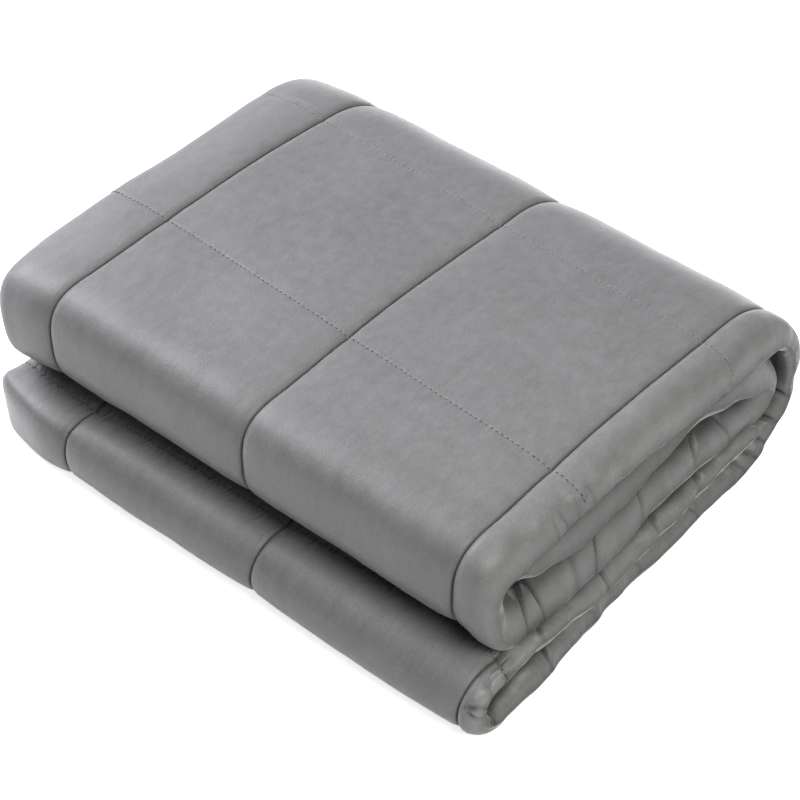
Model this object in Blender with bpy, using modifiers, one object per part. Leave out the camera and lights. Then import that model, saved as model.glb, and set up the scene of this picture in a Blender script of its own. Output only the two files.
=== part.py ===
"""A quilted weighted blanket, folded into a pack of five layers.

The blanket is one filled cloth. It starts at a free edge hidden in the middle of the pack, turns down
at the back, runs forward, turns up over the front as the big upper fold, runs back over the top, wraps
down round the whole back, runs forward along the surface, and turns up again as the low front fold.
X runs across the cloth, between its two long hems; the folds lie along X. Y runs from the front folds
to the back; Z is up from the surface that the pack lies on.
"""

import math
from collections import namedtuple

import bmesh
import bpy
from mathutils import Vector

# Driving sizes, in metres.
CROWN = 0.0095             # half the cloth's thickness in the middle of a quilted cell
SEAM_PITCH = 0.114         # from one seam across the cloth to the next, on the folded cloth
LONG_SEAMS = (-0.127, 0.0, 0.127)   # the three seams that run with the cloth's length

LONG_PINCH = 0.35          # share of the thickness that a seam along the cloth takes away
LONG_PINCH_REACH = 0.026   # how far from that seam the cloth is drawn in
CROSS_PINCH = 0.12         # the same two for a seam across the cloth, which is sewn more loosely
CROSS_PINCH_REACH = 0.022

HEM_NOSE = 0.011           # length of the rounded nose at a hem
NARROW_NOSE = 0.8          # most of the border right of the last long seam that the nose takes
HEM_EDGE = 0.12            # share of the thickness left at the hem's very edge
HEM_DROP = 0.006           # how far the right hem sags, on the three upper layers
HEM_DROP_LOW = 0.003       # the same, on the lowest layer
HEM_DROP_LEFT = 0.15       # the left hem's sag, as a share of the right one's
HEM_DROP_REACH = 0.030
END_BOW = 0.0015           # how far the left hem bows out between two folds

# The cloth's runs between folds, in the order in which the cloth passes through them. For the end of
# each run: the height of the cloth's middle, Y where it ends, how far the run arches up between its
# ends, how far the cloth leans there (its folds are not square to its long seams: the rise in Y for
# each metre of X), how far the long seams have drifted along X, and X of the left and the right hem.
Run = namedtuple("Run", "name height end_y arch lean drift left right")
START = Run("free edge",   0.0745, -0.107,  0.000, 0.060, 0.000, -0.162, 0.143)
RUNS = (
    Run("tongue",          0.0745,  0.075,  0.000, 0.043, 0.000, -0.166, 0.144),
    Run("upper bottom",    0.0510, -0.1015, 0.000, 0.060, 0.000, -0.164, 0.147),
    Run("top",             0.0985,  0.067,  0.003, 0.043, 0.000, -0.174, 0.148),
    Run("foot of spine",   0.0088,  0.040,  0.000, 0.046, 0.004, -0.168, 0.145),
    Run("bottom",          0.0088, -0.1315, 0.000, 0.062, 0.017, -0.158, 0.156),
    Run("lower top",       0.0295,  0.083,  0.000, 0.043, 0.013, -0.162, 0.149),
)
PLACE = {run.name: place for place, run in enumerate(RUNS)}
TOP_SEAM_Y = 0.057         # the two cross seams on top lie this far before and behind the middle
LOW_FOLD_SEAM_Y = -0.126   # the cross seam just above the low front fold
HIDDEN_CELLS = 3           # quilted cells between the back top seam and that one, round the back

# Where the rows and columns of the quilted surface lie.
CELL_STEPS = (0.0, 0.04, 0.13, 0.5, 0.87, 0.96)        # shares of a cell between two long seams
LEFT_HEM_STEPS = (0.0, 0.025, 0.085, 0.23, 0.6, 0.9)   # shares of the border, from edge to seam
RIGHT_HEM_STEPS = (0.0, 0.25, 0.48, 0.81, 0.94, 1.0)   # the same, from seam to edge
NOSE_STEPS = (0.0, 0.0012, 0.004, 0.011)               # rows at a free end of the cloth
CROSS_STEPS = (-0.008, 0.0, 0.008)                     # rows at a seam across the cloth
RUN_ROW = 0.028            # most that two rows on a straight run are apart
TURN_ROW = 0.0115          # the same round a fold
FEWEST_TURN_ROWS = 6
ROW_GAP = 0.006            # a plain row closer than this to a seam's row is left out

CLOTH_COLOUR = (0.235, 0.235, 0.243, 1.0)
CLOTH_ROUGHNESS = 0.85


def clear_scene():
    """Take away whatever the file starts with."""
    for item in list(bpy.data.objects):
        bpy.data.objects.remove(item, do_unlink=True)


def straight(start_y, height, run):
    """One run: its length, and its middle's (y, z) at a share of the way along it."""
    length = abs(run.end_y - start_y)

    def at(share):
        y = start_y + (run.end_y - start_y) * share
        return y, height + run.arch * math.sin(math.pi * share)

    return length, at


def half_turn(run, following):
    """The fold between two runs, a half circle on the side to which the first one runs."""
    radius = abs(following.height - run.height) / 2
    middle_z = (following.height + run.height) / 2
    side = 1 if following.end_y < run.end_y else -1
    upward = 1 if following.height > run.height else -1

    def at(share):
        angle = math.pi * share
        return (run.end_y + side * radius * math.sin(angle),
                middle_z - upward * radius * math.cos(angle))

    return math.pi * radius, at


class FoldPath:
    """The middle line of the cloth, seen from its hem: runs and half turns, end to end."""

    def __init__(self):
        self.pieces = []
        self.run_start = []
        self.run_end = []
        self.length = 0.0
        start_y = START.end_y
        for place, run in enumerate(RUNS):
            self.run_start.append(self.length)
            self._add(*straight(start_y, run.height, run), is_turn=False)
            self.run_end.append(self.length)
            following = RUNS[min(place + 1, len(RUNS) - 1)]
            if following.height != run.height:
                self._add(*half_turn(run, following), is_turn=True)
            start_y = run.end_y

    def _add(self, length, at, is_turn):
        self.pieces.append((self.length, length, at, is_turn))
        self.length += length

    def at(self, distance):
        """(y, z) of the cloth's middle at a distance along it."""
        for start, length, at, _ in self.pieces:
            if distance <= start + length:
                return at((distance - start) / length)
        start, length, at, _ in self.pieces[-1]
        return at(1.0)

    def share(self, distance, place):
        """How far along the run at this place in RUNS a distance is, from 0 to 1."""
        start, end = self.run_start[place], self.run_end[place]
        return min(max((distance - start) / (end - start), 0.0), 1.0)

    def on_run(self, name, y):
        """The distance along the cloth at which a run passes this y."""
        place = PLACE[name]
        return self.run_start[place] + abs(y - RUNS[place - 1].end_y)


def cross_seams(path):
    """Distances along the cloth at which a seam runs across it."""
    front_top = path.on_run("top", -TOP_SEAM_Y)
    back_top = path.on_run("top", TOP_SEAM_Y)
    low_fold = path.on_run("lower top", LOW_FOLD_SEAM_Y)
    seams = [back_top]
    distance = front_top
    while distance > HEM_NOSE + CROSS_PINCH_REACH:
        seams.append(distance)
        distance -= SEAM_PITCH
    for cell in range(1, HIDDEN_CELLS):
        seams.append(back_top + (low_fold - back_top) * cell / HIDDEN_CELLS)
    distance = low_fold
    while distance < path.length - HEM_NOSE - CROSS_PINCH_REACH:
        seams.append(distance)
        distance += SEAM_PITCH
    return sorted(seams)


def row_distances(path, seams):
    """Distances along the cloth of the rows of points that shape it."""
    fixed = [seam + step for seam in seams for step in CROSS_STEPS]
    fixed += list(NOSE_STEPS)
    fixed += [path.length - step for step in NOSE_STEPS]
    plain = []
    for start, length, _, is_turn in path.pieces:
        if is_turn:
            count = max(FEWEST_TURN_ROWS, math.ceil(length / TURN_ROW))
        else:
            count = math.ceil(length / RUN_ROW)
        plain += [start + length * step / count for step in range(count + 1)]
    kept = list(fixed)
    for distance in plain:
        if all(abs(distance - other) > ROW_GAP for other in kept):
            kept.append(distance)
    return sorted(kept)


def between_ends(path, distance, column):
    """A column of the table at a distance along the cloth, between the ends of its runs."""
    start, before = 0.0, START
    for end, run in zip(path.run_end, RUNS):
        if distance <= end:
            share = (distance - start) / (end - start)
            return getattr(before, column) * (1 - share) + getattr(run, column) * share
        start, before = end, run
    return getattr(RUNS[-1], column)


def guides_at(path, distance):
    """X of the left hem, the three long seams and the right hem at a distance along the cloth."""
    drift = between_ends(path, distance, "drift")
    bow = END_BOW * max(math.sin(math.pi * path.share(distance, place)) for place in range(len(RUNS)))
    left = between_ends(path, distance, "left") - bow
    return [left] + [seam + drift for seam in LONG_SEAMS] + [between_ends(path, distance, "right")]


def columns_between(guides):
    """X of every column of points, from the left hem to the right one."""
    bays = [LEFT_HEM_STEPS] + [CELL_STEPS] * (len(LONG_SEAMS) - 1) + [RIGHT_HEM_STEPS]
    columns = []
    for steps, left, right in zip(bays, guides, guides[1:]):
        columns += [left + (right - left) * step for step in steps]
    return columns


def drawn_in(distance, reach):
    """1 on a seam, falling to 0 where the seam no longer draws the filling in."""
    return max(0.0, 1 - distance / reach) ** 2


def nose(distance, reach):
    """Share of the thickness left at a distance from a hem's edge."""
    inward = min(distance / reach, 1.0)
    return max(HEM_EDGE, math.sqrt(inward * (2 - inward)))


def puff(x, distance, guides, seams, length):
    """Share of the full thickness that the cloth has at a point."""
    left, right = guides[0], guides[-1]
    to_long_seam = min(abs(x - seam) for seam in guides[1:-1])
    to_cross_seam = min(abs(distance - seam) for seam in seams)
    from_end = min(distance, length - distance)
    right_nose = min(HEM_NOSE, (right - guides[-2]) * NARROW_NOSE)
    share = 1 - LONG_PINCH * drawn_in(to_long_seam, LONG_PINCH_REACH)
    share *= 1 - CROSS_PINCH * drawn_in(to_cross_seam, CROSS_PINCH_REACH)
    share *= nose(x - left, HEM_NOSE) * nose(right - x, right_nose)
    return share * nose(from_end, HEM_NOSE)


def hem_drop(x, z, guides):
    """How far the cloth sags near its long hems; the layers next to the surface sag least."""
    low, high = RUNS[PLACE["bottom"]].height, RUNS[PLACE["upper bottom"]].height
    height_share = min(max((z - low) / (high - low), 0.0), 1.0)
    depth = HEM_DROP_LOW + (HEM_DROP - HEM_DROP_LOW) * height_share
    sag = drawn_in(max(0.0, guides[-1] - x), HEM_DROP_REACH)
    sag += HEM_DROP_LEFT * drawn_in(max(0.0, x - guides[0]), HEM_DROP_REACH)
    return depth * sag


def fold_lean(path, distance, y):
    """How far the cloth leans at a distance along it: not at all between the two seams on top."""
    lean = between_ends(path, distance, "lean")
    place = PLACE["top"]
    if path.run_start[place] < distance < path.run_end[place]:
        fold_y = RUNS[place].end_y if y > 0 else -RUNS[place - 1].end_y
        lean *= min(max((abs(y) - TOP_SEAM_Y) / (fold_y - TOP_SEAM_Y), 0.0), 1.0)
    return lean


def cloth_middle():
    """The middle surface of the folded cloth, with each point's share of the full thickness."""
    path = FoldPath()
    seams = cross_seams(path)
    rows = row_distances(path, seams)
    width = len(columns_between(guides_at(path, 0.0)))
    shape = bmesh.new()
    bmesh.ops.create_grid(shape, x_segments=width - 1, y_segments=len(rows) - 1, size=1.0)
    shape.verts.index_update()
    points = sorted(shape.verts, key=lambda v: (round(v.co.y, 6), round(v.co.x, 6)))
    shares = {}
    for place, distance in enumerate(rows):
        guides = guides_at(path, distance)
        y, z = path.at(distance)
        lean = fold_lean(path, distance, y)
        row = points[place * width:(place + 1) * width]
        for point, x in zip(row, columns_between(guides)):
            drop = hem_drop(x, z, guides)
            point.co = Vector((x, y + lean * x, z - drop))
            shares[point.index] = puff(x, distance, guides, seams, path.length)
    mesh = bpy.data.meshes.new("quilted_blanket")
    shape.to_mesh(mesh)
    shape.free()
    return mesh, shares


def cloth_material():
    """Plain mid-grey brushed cloth."""
    material = bpy.data.materials.new("grey_cloth")
    material.use_nodes = True
    shader = material.node_tree.nodes["Principled BSDF"]
    shader.inputs["Base Color"].default_value = CLOTH_COLOUR
    shader.inputs["Roughness"].default_value = CLOTH_ROUGHNESS
    shader.inputs["Metallic"].default_value = 0.0
    return material


def thicken(middle, shares, collection):
    """Give the cloth's middle surface its thickness, crowned in the cells and thin at the hems."""
    cloth = bpy.data.objects.new("cloth_middle", middle)
    collection.objects.link(cloth)
    group = cloth.vertex_groups.new(name="puff")
    for index, share in shares.items():
        group.add([index], share, "REPLACE")
    fill = cloth.modifiers.new("filling", "SOLIDIFY")
    fill.thickness = 2 * CROWN
    fill.offset = 0.0
    fill.vertex_group = group.name
    fill.use_rim = True
    evaluated = cloth.evaluated_get(bpy.context.evaluated_depsgraph_get())
    solid = bpy.data.meshes.new_from_object(evaluated)
    bpy.data.objects.remove(cloth, do_unlink=True)
    return solid


def settle(mesh):
    """Press the lowest cells flat on the surface and centre the pack over the origin."""
    for vertex in mesh.vertices:
        vertex.co.z = max(vertex.co.z, 0.0)
    for axis in (0, 1):
        values = [vertex.co[axis] for vertex in mesh.vertices]
        middle = (min(values) + max(values)) / 2
        for vertex in mesh.vertices:
            vertex.co[axis] -= middle


def face_outwards(mesh):
    """Turn every face of the closed cloth outwards."""
    shape = bmesh.new()
    shape.from_mesh(mesh)
    bmesh.ops.triangulate(shape, faces=shape.faces)
    bmesh.ops.recalc_face_normals(shape, faces=shape.faces)
    shape.to_mesh(mesh)
    shape.free()


def main():
    clear_scene()
    collection = bpy.data.collections.new("weighted_blanket")
    bpy.context.scene.collection.children.link(collection)
    middle, shares = cloth_middle()
    mesh = thicken(middle, shares, collection)
    settle(mesh)
    face_outwards(mesh)
    mesh.materials.clear()
    mesh.materials.append(cloth_material())
    blanket = bpy.data.objects.new("quilted_blanket", mesh)
    collection.objects.link(blanket)
    mesh.shade_smooth()


main()
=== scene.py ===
"""A grey quilted weighted blanket, folded into a pack, on a pale studio floor.

The blanket is one filled cloth, quilted into squares. Its middle follows the folds of the solid part:
a free edge inside, the tongue, the upper bottom run, the big front fold, the top, the spine round the
back, the bottom run, the low front fold, and the run that ends inside. Every point of the cloth has a
place along that path and a place across it, from the left hem to the right one. The outer side of the
cloth is the one that shows on top; the inner side shows only between the layers at the two ends.
Stitches lie in the seams of the outer side.
"""

import math
from collections import namedtuple

import bpy
import numpy as np
from mathutils import Euler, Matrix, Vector

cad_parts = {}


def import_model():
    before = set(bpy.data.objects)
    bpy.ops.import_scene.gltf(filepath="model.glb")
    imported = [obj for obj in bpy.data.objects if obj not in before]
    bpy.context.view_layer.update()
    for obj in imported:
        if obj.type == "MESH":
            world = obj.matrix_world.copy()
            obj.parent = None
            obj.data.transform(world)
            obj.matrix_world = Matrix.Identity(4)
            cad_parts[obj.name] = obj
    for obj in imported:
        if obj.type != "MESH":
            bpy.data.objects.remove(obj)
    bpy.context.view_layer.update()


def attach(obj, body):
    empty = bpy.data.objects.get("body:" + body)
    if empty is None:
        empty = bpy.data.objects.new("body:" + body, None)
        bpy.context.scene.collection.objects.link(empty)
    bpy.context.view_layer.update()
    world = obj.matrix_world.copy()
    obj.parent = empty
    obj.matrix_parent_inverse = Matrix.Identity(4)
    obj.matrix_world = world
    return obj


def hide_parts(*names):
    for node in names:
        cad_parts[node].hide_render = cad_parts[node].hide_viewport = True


MM = 0.001


def mm(*lengths):
    """These lengths, given in millimetres."""
    return tuple(length * MM for length in lengths)


def rows_of(kind, runs):
    """The rows of a table that is written run by run, with its lengths in millimetres."""
    rows = [kind(run, *row) for run, places in runs.items() for row in places]
    lengths = {"y", "down", "out", "back", "depth", "width", "reach"} & set(kind._fields)
    return [row._replace(**{name: getattr(row, name) * MM for name in lengths}) for row in rows]


# ---- the folds, as in the solid part
CROWN = 0.0095  # half the cloth's thickness in the middle of a square
SEAM_PITCH = 0.114  # from one seam across the cloth to the next
LONG_SEAMS = (-0.127, 0.0, 0.127)  # the three seams that run with the cloth's length
PACK_MIDDLE = (-0.00893, -0.01612)  # X and Y of the pack's middle in the table below

# For the end of each run: height of the cloth's middle, Y where it ends, its arch, how far the cloth
# leans (its rise in Y for each metre of X), how far the long seams have drifted, how far the middle one
# of them strays from that, and the two hems.
Run = namedtuple("Run", "name height end_y arch lean drift stray left right")
START = Run("free edge", 0.0745, -0.107, 0, 0.060, 0, 0, -0.164, 0.143)
RUNS = (
    Run("tongue", 0.0745, 0.075, 0, 0.043, 0, 0, -0.166, 0.144),
    Run("upper bottom", 0.0510, -0.1015, 0, 0.060, 0, 0.0015, -0.1635, 0.147),
    Run("top", 0.0985, 0.067, 0.003, 0.043, 0, 0, -0.1765, 0.148),
    Run("foot of spine", 0.0088, 0.040, 0, 0.046, 0.004, 0, -0.168, 0.145),
    Run("bottom", 0.0088, -0.1315, 0, 0.062, 0.0185, 0, -0.154, 0.156),
    Run("lower top", 0.0295, 0.083, 0, 0.043, 0.008, 0, -0.158, 0.149),
)
PLACE = {run.name: place for place, run in enumerate(RUNS)}
TOP_SEAM_Y = 0.057
FRONT_SEAM_Y, BACK_SEAM_Y = -0.058, 0.055  # the two seams across the top, as the photograph has them
LOW_FOLD_SEAM_Y = -0.126
SLIDE, SLIDE_SLANT, SLIDE_REACH = 4.5 * MM, 0.035, 24 * MM  # how far that seam strays, more on the right
HIDDEN_CELLS = 3  # from the back seam on top to the one on the low front fold
SEAMLESS = 35 * MM  # how far from its two free ends the cloth has no seam across it

# ---- the quilting
LONG_HOLLOW, LONG_HOLLOW_REACH = mm(1.1, 22)  # the filling is drawn in beside a long seam
LONG_CLEFT, LONG_CLEFT_REACH = mm(2.3, 4.6)  # the cloth rounds down into the seam itself
CROSS_HOLLOW, CROSS_HOLLOW_REACH = mm(0.5, 12)  # the same for the loosely sewn cross seams
CROSS_CLEFT, CROSS_CLEFT_REACH = mm(0.35, 2.2)
TIGHT_HOLLOW, TIGHT_HOLLOW_REACH = mm(1.6, 12)  # and for the one on the low front fold
TIGHT_CLEFT, TIGHT_CLEFT_REACH = mm(0.8, 3)
UNEVEN, CREASE, RIPPLE = mm(0.55, 0.24, 0.1)  # how far it is lumpy, creased and rippled
CREASE_SLANT = (0.30, 0.35, -0.25)  # how its creases are stretched and slanted
LUMP_GRID = (97, 89)  # lumps repeat after this many, along and across
LUMP_START = 40  # the lump at the cloth's free end, in its middle
# Every kind of lump: its size on the cloth and the seed of its random draws.
LUMPS = {"outer": (34 * MM, 3), "inner": (34 * MM, 4), "crease": (11 * MM, 21), "ripple": (9 * MM, 5),
         "gathers": (6 * MM, 11), "wide gathers": (11 * MM, 12), "hem's line": (10 * MM, 7)}

# ---- the hems
EDGE_HALF = 1.8 * MM  # half the thickness of the turned edge
EDGE_ROLL = 2.1 * MM  # how far in from its rim the turned edge is round
RIM_SHARE = 0.3  # how thick it is at the very rim, as a share
RIM = 0.5 * MM  # the filling begins this far in from the rim
LEFT_NOSE = 6 * MM  # how far in from the hem the filling has its full height
RIGHT_NOSE = {"outer": 9 * MM, "inner": 12 * MM}
FREE_NOSE = 9 * MM  # the same at the cloth's two free ends
SQUARE_REACH = 60 * MM  # how far in from the left hem its square folds are round again
# How square the folds are at their low and high corner, at the left hem and in the middle: 2 is round.
SQUARE_FOLDS = {"upper bottom": ((2.3, 3.4), (2.1, 3.3)), "bottom": ((6.0, 7.0), (2.0, 2.3))}

# The left hem: places along the cloth, how far it sags there, and how far it is moved along X and Y.
# turn is the share of the fold after the run, where the place lies on the fold, or None on the run.
LeftPlace = namedtuple("LeftPlace", "run y turn down out back", defaults=(0, 0))
LEFT_HEM = rows_of(LeftPlace, {
    "upper bottom": (
        (-60, None, 2.4),
        (0, 0.3, 5),
        (0, 0.6, 5.5, -0.5),
        (0, 0.8, 5.5, -2),
    ),
    "top": (
        (-96, None, 5.8, -4.6),
        (-60, None, 6, -2.6),
        (-10, None, 6.5, 1),
        (60, None, 6.5),
        (0, 0.5, 4),
    ),
    "foot of spine": ((50, None, 1.5),),
    "bottom": (
        (0, None, 1, -2),
        (-80, None, 1, -5, 2),
        (-125, None, 0, -8, 5),
        (0, 0.25, 0, -11.5, 9),
        (0, 0.5, -0.5, -14, 10.5),
        (0, 0.75, -1, -13, 10),
        (0, 0.95, -1, -12, 6),
    ),
    "lower top": (
        (-125, None, -1, -12, 2),
        (-100, None, 0, -9, 1),
        (-60, None, 1.5, -6),
        (60, None, 2.4, -3),
    ),
})
LEFT_REACH, RIGHT_REACH = mm(40, 17)  # how far from a hem its own shape fades out
TUCK, TUCK_REACH, TUCK_FROM = mm(8.5, 24, 32)  # how the free edge is pushed into the front fold
# How the slack tongue rises and falls between its neighbours, and how far from its fold it stops.
SLACK, SLACK_WAVE, SLACK_END = mm(4.2, 130, 9)
RUFFLE, RUFFLE_REACH = 0.24, 20 * MM  # how unevenly the hem is filled, as a share of its thickness
WANDER, WANDER_REACH = 1.4 * MM, 12 * MM  # how far its edge wanders
WIDE_GATHERS = 0.6  # how strong its wide gathers are, of the narrow ones
PLEAT_MOUTH = 0.6  # how deep a pleat is at the very rim, as a share of its depth
FILL_REACH = 2.4 * RIGHT_REACH  # how far in its own fullness reaches
LEFT_SAG = 0.65  # under 1, the left hem's sag fades out late

# The right hem in the same way. outer and inner are how full each side of the cloth is near it, and
# ruffle is how unevenly it is gathered there.
HemPlace = namedtuple("HemPlace", "run y turn down outer inner ruffle out back", defaults=(0, 0))
RIGHT_HEM = rows_of(HemPlace, {
    "tongue": (
        (-107, None, -5, 0.5, 0.4, 0.3),
        (-89, None, 5.5, 0.7, 0.45, 0.3),
        (-60, None, 14, 0.9, 0.5, 0.4),
        (-30, None, 10, 0.9, 0.5, 0.5),
        (0, None, 2.5, 0.7, 0.5, 0.5),
        (30, None, -5, 0.5, 0.6, 0.3),
        (58, None, 5, 0.9, 0.7, 0.2),
        (0, 0.04, 14, 1.1, 0.4, 0.2, 1, 4),
        (0, 0.5, 13, 1.2, 0.25, 0.3, 1, 9),
    ),
    "upper bottom": (
        (74, None, 15, 1.1, 0.45, 0.6, 0, 5),
        (58, None, 12, 1, 0.8, 0.7),
        (37, None, 8, 1, 1, 0.8),
        (5, None, 6.2, 0.95, 1.3, 0.8),
        (-38, None, 13.8, 0.8, 1.35, 0.6, 1),
        (-85, None, 13.5, 0.8, 1.4, 0.5, 1),
        (0, 0.15, 14, 0.9, 1.2, 0.5, 0, 2),
        (0, 0.5, 9, 0.95, 0.9, 0.5, 0, 2),
        (0, 0.9, 9.5, 1, 0.8, 0.6),
    ),
    "top": (
        (-65, None, 6.5, 1, 0.8, 1),
        (-20, None, 8, 1, 0.8, 0.6, -1),
        (20, None, 11.5, 1, 0.8, 0.4, -1),
        (50, None, 8, 1, 0.8, 0.4),
        (0, 0.06, 9, 1, 0.8, 0.5),
        (0, 0.25, 3, 0.95, 0.7, 0.8, 0, -1),
        (0, 0.5, 6, 0.95, 0.6, 0.8, 0, -2),
        (0, 0.85, 1, 0.9, 1, 1, 2),
    ),
    "foot of spine": ((55, None, 1, 0.95, 1.1, 1, 4),),
    "bottom": (
        (30, None, 1, 1, 1.2, 1, 4.5),
        (-35, None, 1, 1, 1.2, 1, 0.5),
        (-100, None, 1, 1, 1.2, 1, 2),
        (0, 0.5, 0, 1, 0.4, 0.7),
    ),
    "lower top": (
        (-110, None, -5.8, 0.8, 0.9, 1.3),
        (-85, None, -2.8, 0.8, 0.9, 1),
        (-50, None, 5.5, 0.85, 0.9, 1),
        (0, None, 0, 0.85, 0.9, 1),
        (60, None, -4, 0.85, 0.9, 1),
    ),
})

# Pleats across the right hem, on each side of the cloth: where each one is, how deep and wide it is, how
# far in from the hem it reaches, and how far along the cloth it slants on that way.
Pleat = namedtuple("Pleat", "run y turn depth width reach slant")
OUTER_PLEATS = rows_of(Pleat, {
    "top": (
        (-82, None, 2.2, 1.3, 6, 0.3),
        (-73, None, 2.6, 1.4, 6, -0.3),
        (-64, None, 1.8, 1.3, 5, 0.4),
        (-52, None, 1.8, 1.3, 5, 0),
    ),
    "bottom": (
        (0, 0.58, 3.2, 1, 8, 0.2),
        (0, 0.72, 4, 1.1, 10, -0.3),
        (0, 0.88, 3.4, 1, 8, 0.3),
    ),
    "lower top": (
        (-46, None, 4.2, 1.4, 14, 0),
        (-98, None, 2.6, 1.4, 12, 0.3),
        (-6, None, 3.2, 1.6, 14, 0.3),
        (30, None, 3, 1.5, 14, 0.3),
    ),
})
INNER_PLEATS = rows_of(Pleat, {
    "upper bottom": (
        (-90, None, 5, 1.2, 24, 0.25),
        (-104, None, 5.5, 1.3, 28, -0.5),
        (-66, None, 2.4, 2.4, 26, -0.2),
        (-52, None, 5, 1.3, 24, -0.9),
        (-14, None, 3.4, 1.6, 26, -0.5),
        (30, None, 3.4, 1.6, 24, -0.6),
        (60, None, 2.6, 1.5, 24, 0.3),
    ),
    "top": (
        (0, 0.95, 4.4, 1.3, 14, 0.6),
        (0, 0.88, 4.8, 1.3, 14, 0.6),
        (0, 0.8, 4.6, 1.4, 14, 0.5),
        (0, 0.7, 4, 1.5, 14, 0.4),
        (0, 0.57, 3.4, 1.6, 14, 0.4),
        (0, 0.28, 3, 1.6, 18, 0.3),
    ),
    "bottom": (
        (0, 0.16, 5.5, 1.3, 12, 0.4),
        (-93, None, 4.6, 1.3, 14, -0.3),
        (-55, None, 2.6, 1.7, 12, 0.2),
        (-15, None, 3.2, 1.6, 12, 0.3),
        (34, None, 3.4, 1.5, 16, 0.6),
        (0, 0.62, 3.6, 1.3, 16, 0.1),
    ),
})
PLEATS = {"outer": OUTER_PLEATS, "inner": INNER_PLEATS}

# ---- marks that the finish reads: gathers, painted shade and painted highlights
LOOSE_GATHERS, LONG_GATHERS = 0.25, 0.14  # gathers at the loose and at the long seams, of the strongest
TIGHT_REACH, LOOSE_REACH, LONG_REACH, HEM_REACH = mm(12, 7, 9, 15)  # how far from each the cloth gathers
LEFT_GATHERS = 1.6  # the left hem's gathers reach this much less far in
DARKEST_PLEAT = 6 * MM  # a pleat this deep gets as much painted shade as a long seam
TIGHT_DARK, RIM_DARK = 0.35, 0.4  # how much painted shade the tight seam and the right rim get, of a long seam's
LONG_LINE, TIGHT_LINE, RIM_LINE = mm(0.75, 0.8, 1.0)  # half the width of these lines of painted shade
TONGUE_DEPTH, TONGUE_FADE = 0.4, 12 * MM  # how much painted shade the tongue gets, and how that fades out at its fold
LOW_FOLD_DEPTH, LOW_FOLD_FADE = 1.4, 14 * MM  # the same painted shade inside the low front fold
DEEP_FROM, DEEP_REACH = mm(2.5, 6)  # from a hem inwards, where the painted shade between layers begins
HEM_LIGHT, LEDGE_LIGHT, LIP_LIGHT = 0.13, 0.45, 0.55  # painted highlights: how much lighter hems, the ledge and lips are made
HEM_LIGHT_END, HEM_LIGHT_FADE, LEDGE_REACH, LIP_REACH, LIP_WIDTH = mm(26, 14, 16, 11, 4.5)
LEDGE_Y, COVERED_Y = -0.110, -0.112  # Y of the ledge before the upper pack, and where that covers it
LIP_TURN = 0.8  # share of the low front fold where the painted highlight on its lip is

# ---- the sewing
STITCH_PITCH = 3.1 * MM
THREAD_LIFT = 0.05 * MM  # how far the middle of a thread lies above the cloth
SEAM_END = 1.8 * MM  # how far from a hem a seam across the cloth begins and ends
LINE_STEP = 1.0 * MM
HOLE_MARK = "painted_hole_shade"  # the attribute that tells the faces of a needle hole's dark bead, painted shade, from a thread's
# Stitches show along the long seams from under the upper front fold to low on the spine, and from low on
# the low front fold to under the upper pack.
SEWN_FROM_Y, SEWN_TO_TURN = -0.070, 0.93
SEWN_FROM_TURN, SEWN_TO_Y = 0.12, -0.085

# ---- where the points of the mesh lie
NEAR_SEAM = mm(0.35, 0.9, 1.8, 3, 4.6)
NEAR_LEFT_EDGE = mm(0.5, 1.1, 2, 3.2, 5, 8)
NEAR_RIGHT_EDGE = mm(0.4, 0.85, 1.35, 2, 2.9, 4, 5.4, 7.2)
NARROWEST_BAY = 18 * MM  # a bay narrower than this has its columns squeezed together
OUTER_BAYS = (6, 18, 18, 2)  # plain columns of the outer side in the bays between the guides
INNER_BAYS = (3, 7, 8, 4)
ROW_STEP = {  # most that two rows are apart, on each run and on the fold after it
    "tongue": mm(3, 1.9), "upper bottom": mm(2.4, 1.8), "top": mm(2.8, 2.3),
    "foot of spine": mm(3.2, 3.2), "bottom": mm(3, 1.5), "lower top": mm(2.8, 2.8),
}
SEAM_ROWS = mm(0, 0.5, 1.1, 1.9, 3, 4.5, 7)
END_ROWS = mm(0, 1.2, 3, 6)  # rows at the cloth's two free ends
FIXED_GAP, LEAST_GAP = 0.45 * MM, 0.3 * MM  # rows for seams and pleats, and all rows, are further apart
ROW_GAP = 0.45  # share of a run's row step under which a plain row is left out
FLAT_MIDDLES = (0.2, 0.6)  # U of the outer and the inner side's middle in the flat pattern


# ==== small helpers
def smooth(share):
    """0 to 1 with soft ends."""
    share = np.clip(share, 0.0, 1.0)
    return share * share * (3 - 2 * share)


def fading(distance, reach):
    """1 at no distance, falling softly to 0 at the reach."""
    return np.clip(1 - distance / reach, 0.0, 1.0) ** 2


def bell(distance, width):
    """1 at no distance, and next to nothing at twice the width."""
    return np.exp(-(distance / width) ** 2)


def rounded(distance, reach):
    """0 at no distance, rising like a quarter circle to 1 at the reach."""
    share = np.clip(distance / reach, 0.0, 1.0)
    return np.sqrt(share * (2 - share))


def in_scene(name, data):
    """A new object in the scene."""
    made = bpy.data.objects.new(name, data)
    bpy.context.scene.collection.objects.link(made)
    return made


def eased(at, places, values):
    """Values between the places of a table, without a kink at any of them."""
    places, values = np.asarray(places), np.asarray(values)
    index = np.clip(np.searchsorted(places, at, side="right") - 1, 0, len(places) - 2)
    share = (at - places[index]) / (places[index + 1] - places[index])
    return values[index] + (values[index + 1] - values[index]) * smooth(share)


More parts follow.
